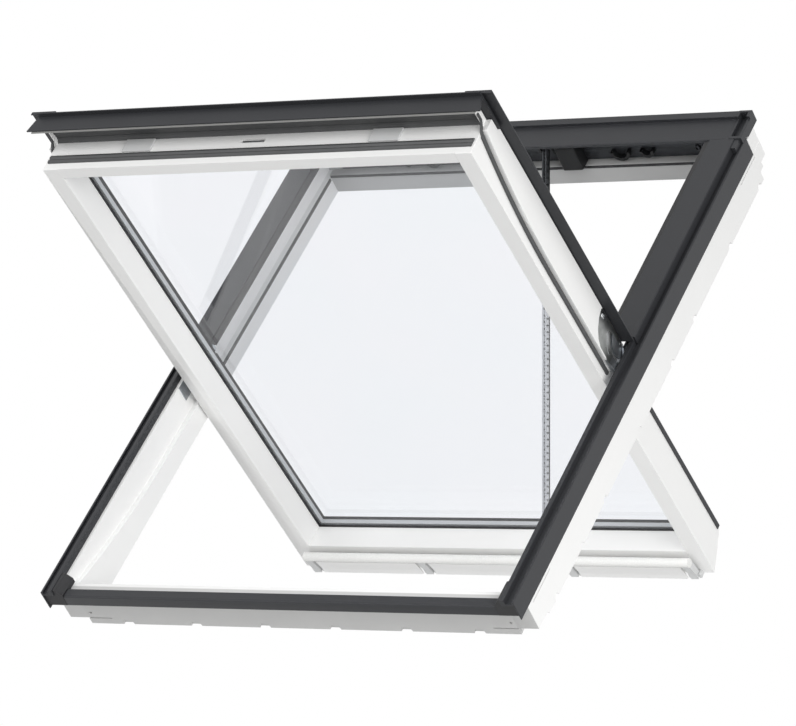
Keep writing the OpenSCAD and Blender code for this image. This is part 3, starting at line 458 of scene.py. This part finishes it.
# Lower corners of the sash: the white end of its lip over the sill, and the gasket that turns up
# along it.
LIP_END = [(-450.5, -19), (-450.5, -6), (-479.5, -6), (-480.5, -11), (-479, -18), (-478, -19)]
LIP_END_X = (352.2, 354.4)
GASKET_END = [(-446, -27.5), (-446, -34), (-452, -32), (-457.5, -26), (-461.5, -19.8),
              (-474, -19.4), (-474, -15.4), (-461, -15.8), (-453, -22)]
GASKET_END_X = (354.45, 356.6)
for side, across in SIDES:
    plate_piece(f"lip_end_{side}", LIP_END, LIP_END_X, ON_SASH, "sash",
                white_polyurethane, 0.8, across)
    plate_piece(f"gasket_end_{side}", GASKET_END, GASKET_END_X, ON_SASH, "sash",
                grey_epdm, 0.6, across)


# --- Studio -------------------------------------------------------------------------------------

# A white surround that lights more from above than from below. To the camera, in mirrors and
# through glass it is plain white.
SKY_HEIGHTS = (-0.7, 0.8)
SKY_STRENGTHS = (0.12, 0.7)
scene.view_settings.view_transform = "Standard"
world = bpy.data.worlds.new("studio")
scene.world = world
world.use_nodes = True
tree = world.node_tree
tree.nodes.clear()
around = put(tree, "ShaderNodeTexCoord").outputs["Generated"]
up = put(tree, "ShaderNodeSeparateXYZ", {"Vector": around}).outputs["Z"]
sky = put(tree, "ShaderNodeMapRange", {
    "Value": up, "From Min": SKY_HEIGHTS[0], "From Max": SKY_HEIGHTS[1],
    "To Min": SKY_STRENGTHS[0], "To Max": SKY_STRENGTHS[1],
})
rays = put(tree, "ShaderNodeLightPath")
seen = rays.outputs["Is Camera Ray"]
for kind in ("Is Glossy Ray", "Is Transmission Ray"):
    seen = put(tree, "ShaderNodeMath", {0: seen, 1: rays.outputs[kind]},
               operation="MAXIMUM").outputs["Value"]
light = put(tree, "ShaderNodeBackground",
            {"Color": linear("#ffffff"), "Strength": sky.outputs["Result"]})
white = put(tree, "ShaderNodeBackground", {"Color": linear("#ffffff"), "Strength": 1.0})
both = put(tree, "ShaderNodeMixShader",
           {0: seen, 1: light.outputs["Background"], 2: white.outputs["Background"]})
put(tree, "ShaderNodeOutputWorld", {"Surface": both.outputs["Shader"]})


def lamp(name, place, aim, size, watts):
    """Adds a square soft lamp that looks at a point."""
    made = bpy.data.lights.new(name, "AREA")
    made.shape = "SQUARE"
    made.size = size
    made.energy = watts
    holder = bpy.data.objects.new(name, made)
    holder.location = place
    holder.rotation_euler = (Vector(aim) - Vector(place)).to_track_quat("-Z", "Y").to_euler()
    scene.collection.objects.link(holder)


# Large soft lamps to the right and in front, and a faint one low in front.
CENTRE = (0.0, 0.29, 0.37)
lamp("right_softbox", (3.3, -1.5, 0.6), CENTRE, 2.2, 74)
lamp("front_softbox", (-0.8, -3.3, 1.9), CENTRE, 2.0, 52)
lamp("low_softbox", (-0.8, -1.6, -0.4), CENTRE, 1.2, 2)

# A plain pale floor, far enough below the window to stay out of the main view.
FLOOR_PLACE = (0, 0.3, -0.9)
FLOOR_REACH = 1.3
FLOOR_CELLS = 8
ground = bmesh.new()
bmesh.ops.create_grid(ground, x_segments=FLOOR_CELLS, y_segments=FLOOR_CELLS, size=FLOOR_REACH,
                      matrix=Matrix.Translation(FLOOR_PLACE))
floor_mesh = bpy.data.meshes.new("floor")
ground.to_mesh(floor_mesh)
ground.free()
floor = bpy.data.objects.new("floor", floor_mesh)
scene.collection.objects.link(floor)
# Studio paper: white, matt, with the faintest mottle.
studio_paper = finish("studio_paper", "#f4f4f4", "#efefef", 400, 3.0, (0.85, 0.95), 0.02)
floor_mesh.materials.append(studio_paper)

# Camera: long lens, 33 degrees to the right of the fall line and a little below the pivot's level.
# It was fitted to a slope of 45.22 degrees and is turned about the pivot to fit the solids' 45.
FITTED = Matrix.Rotation(math.radians(-0.22), 3, "X")
EYE = Vector((3.51063, -5.507, -0.16406))
LOOK = Vector((-0.53821, 0.84255, 0.02077))
FOCAL_PX = 4543.0
WIDTH_PX = 796.0
SENSOR_MM = 36.0
lens = bpy.data.cameras.new("camera")
lens.sensor_width = SENSOR_MM
lens.lens = SENSOR_MM * FOCAL_PX / WIDTH_PX
lens.clip_end = 100.0
camera = bpy.data.objects.new("camera", lens)
camera.location = PIVOT + FITTED @ EYE
camera.rotation_euler = (FITTED @ LOOK).to_track_quat("-Z", "Y").to_euler()
scene.collection.objects.link(camera)
scene.camera = camera
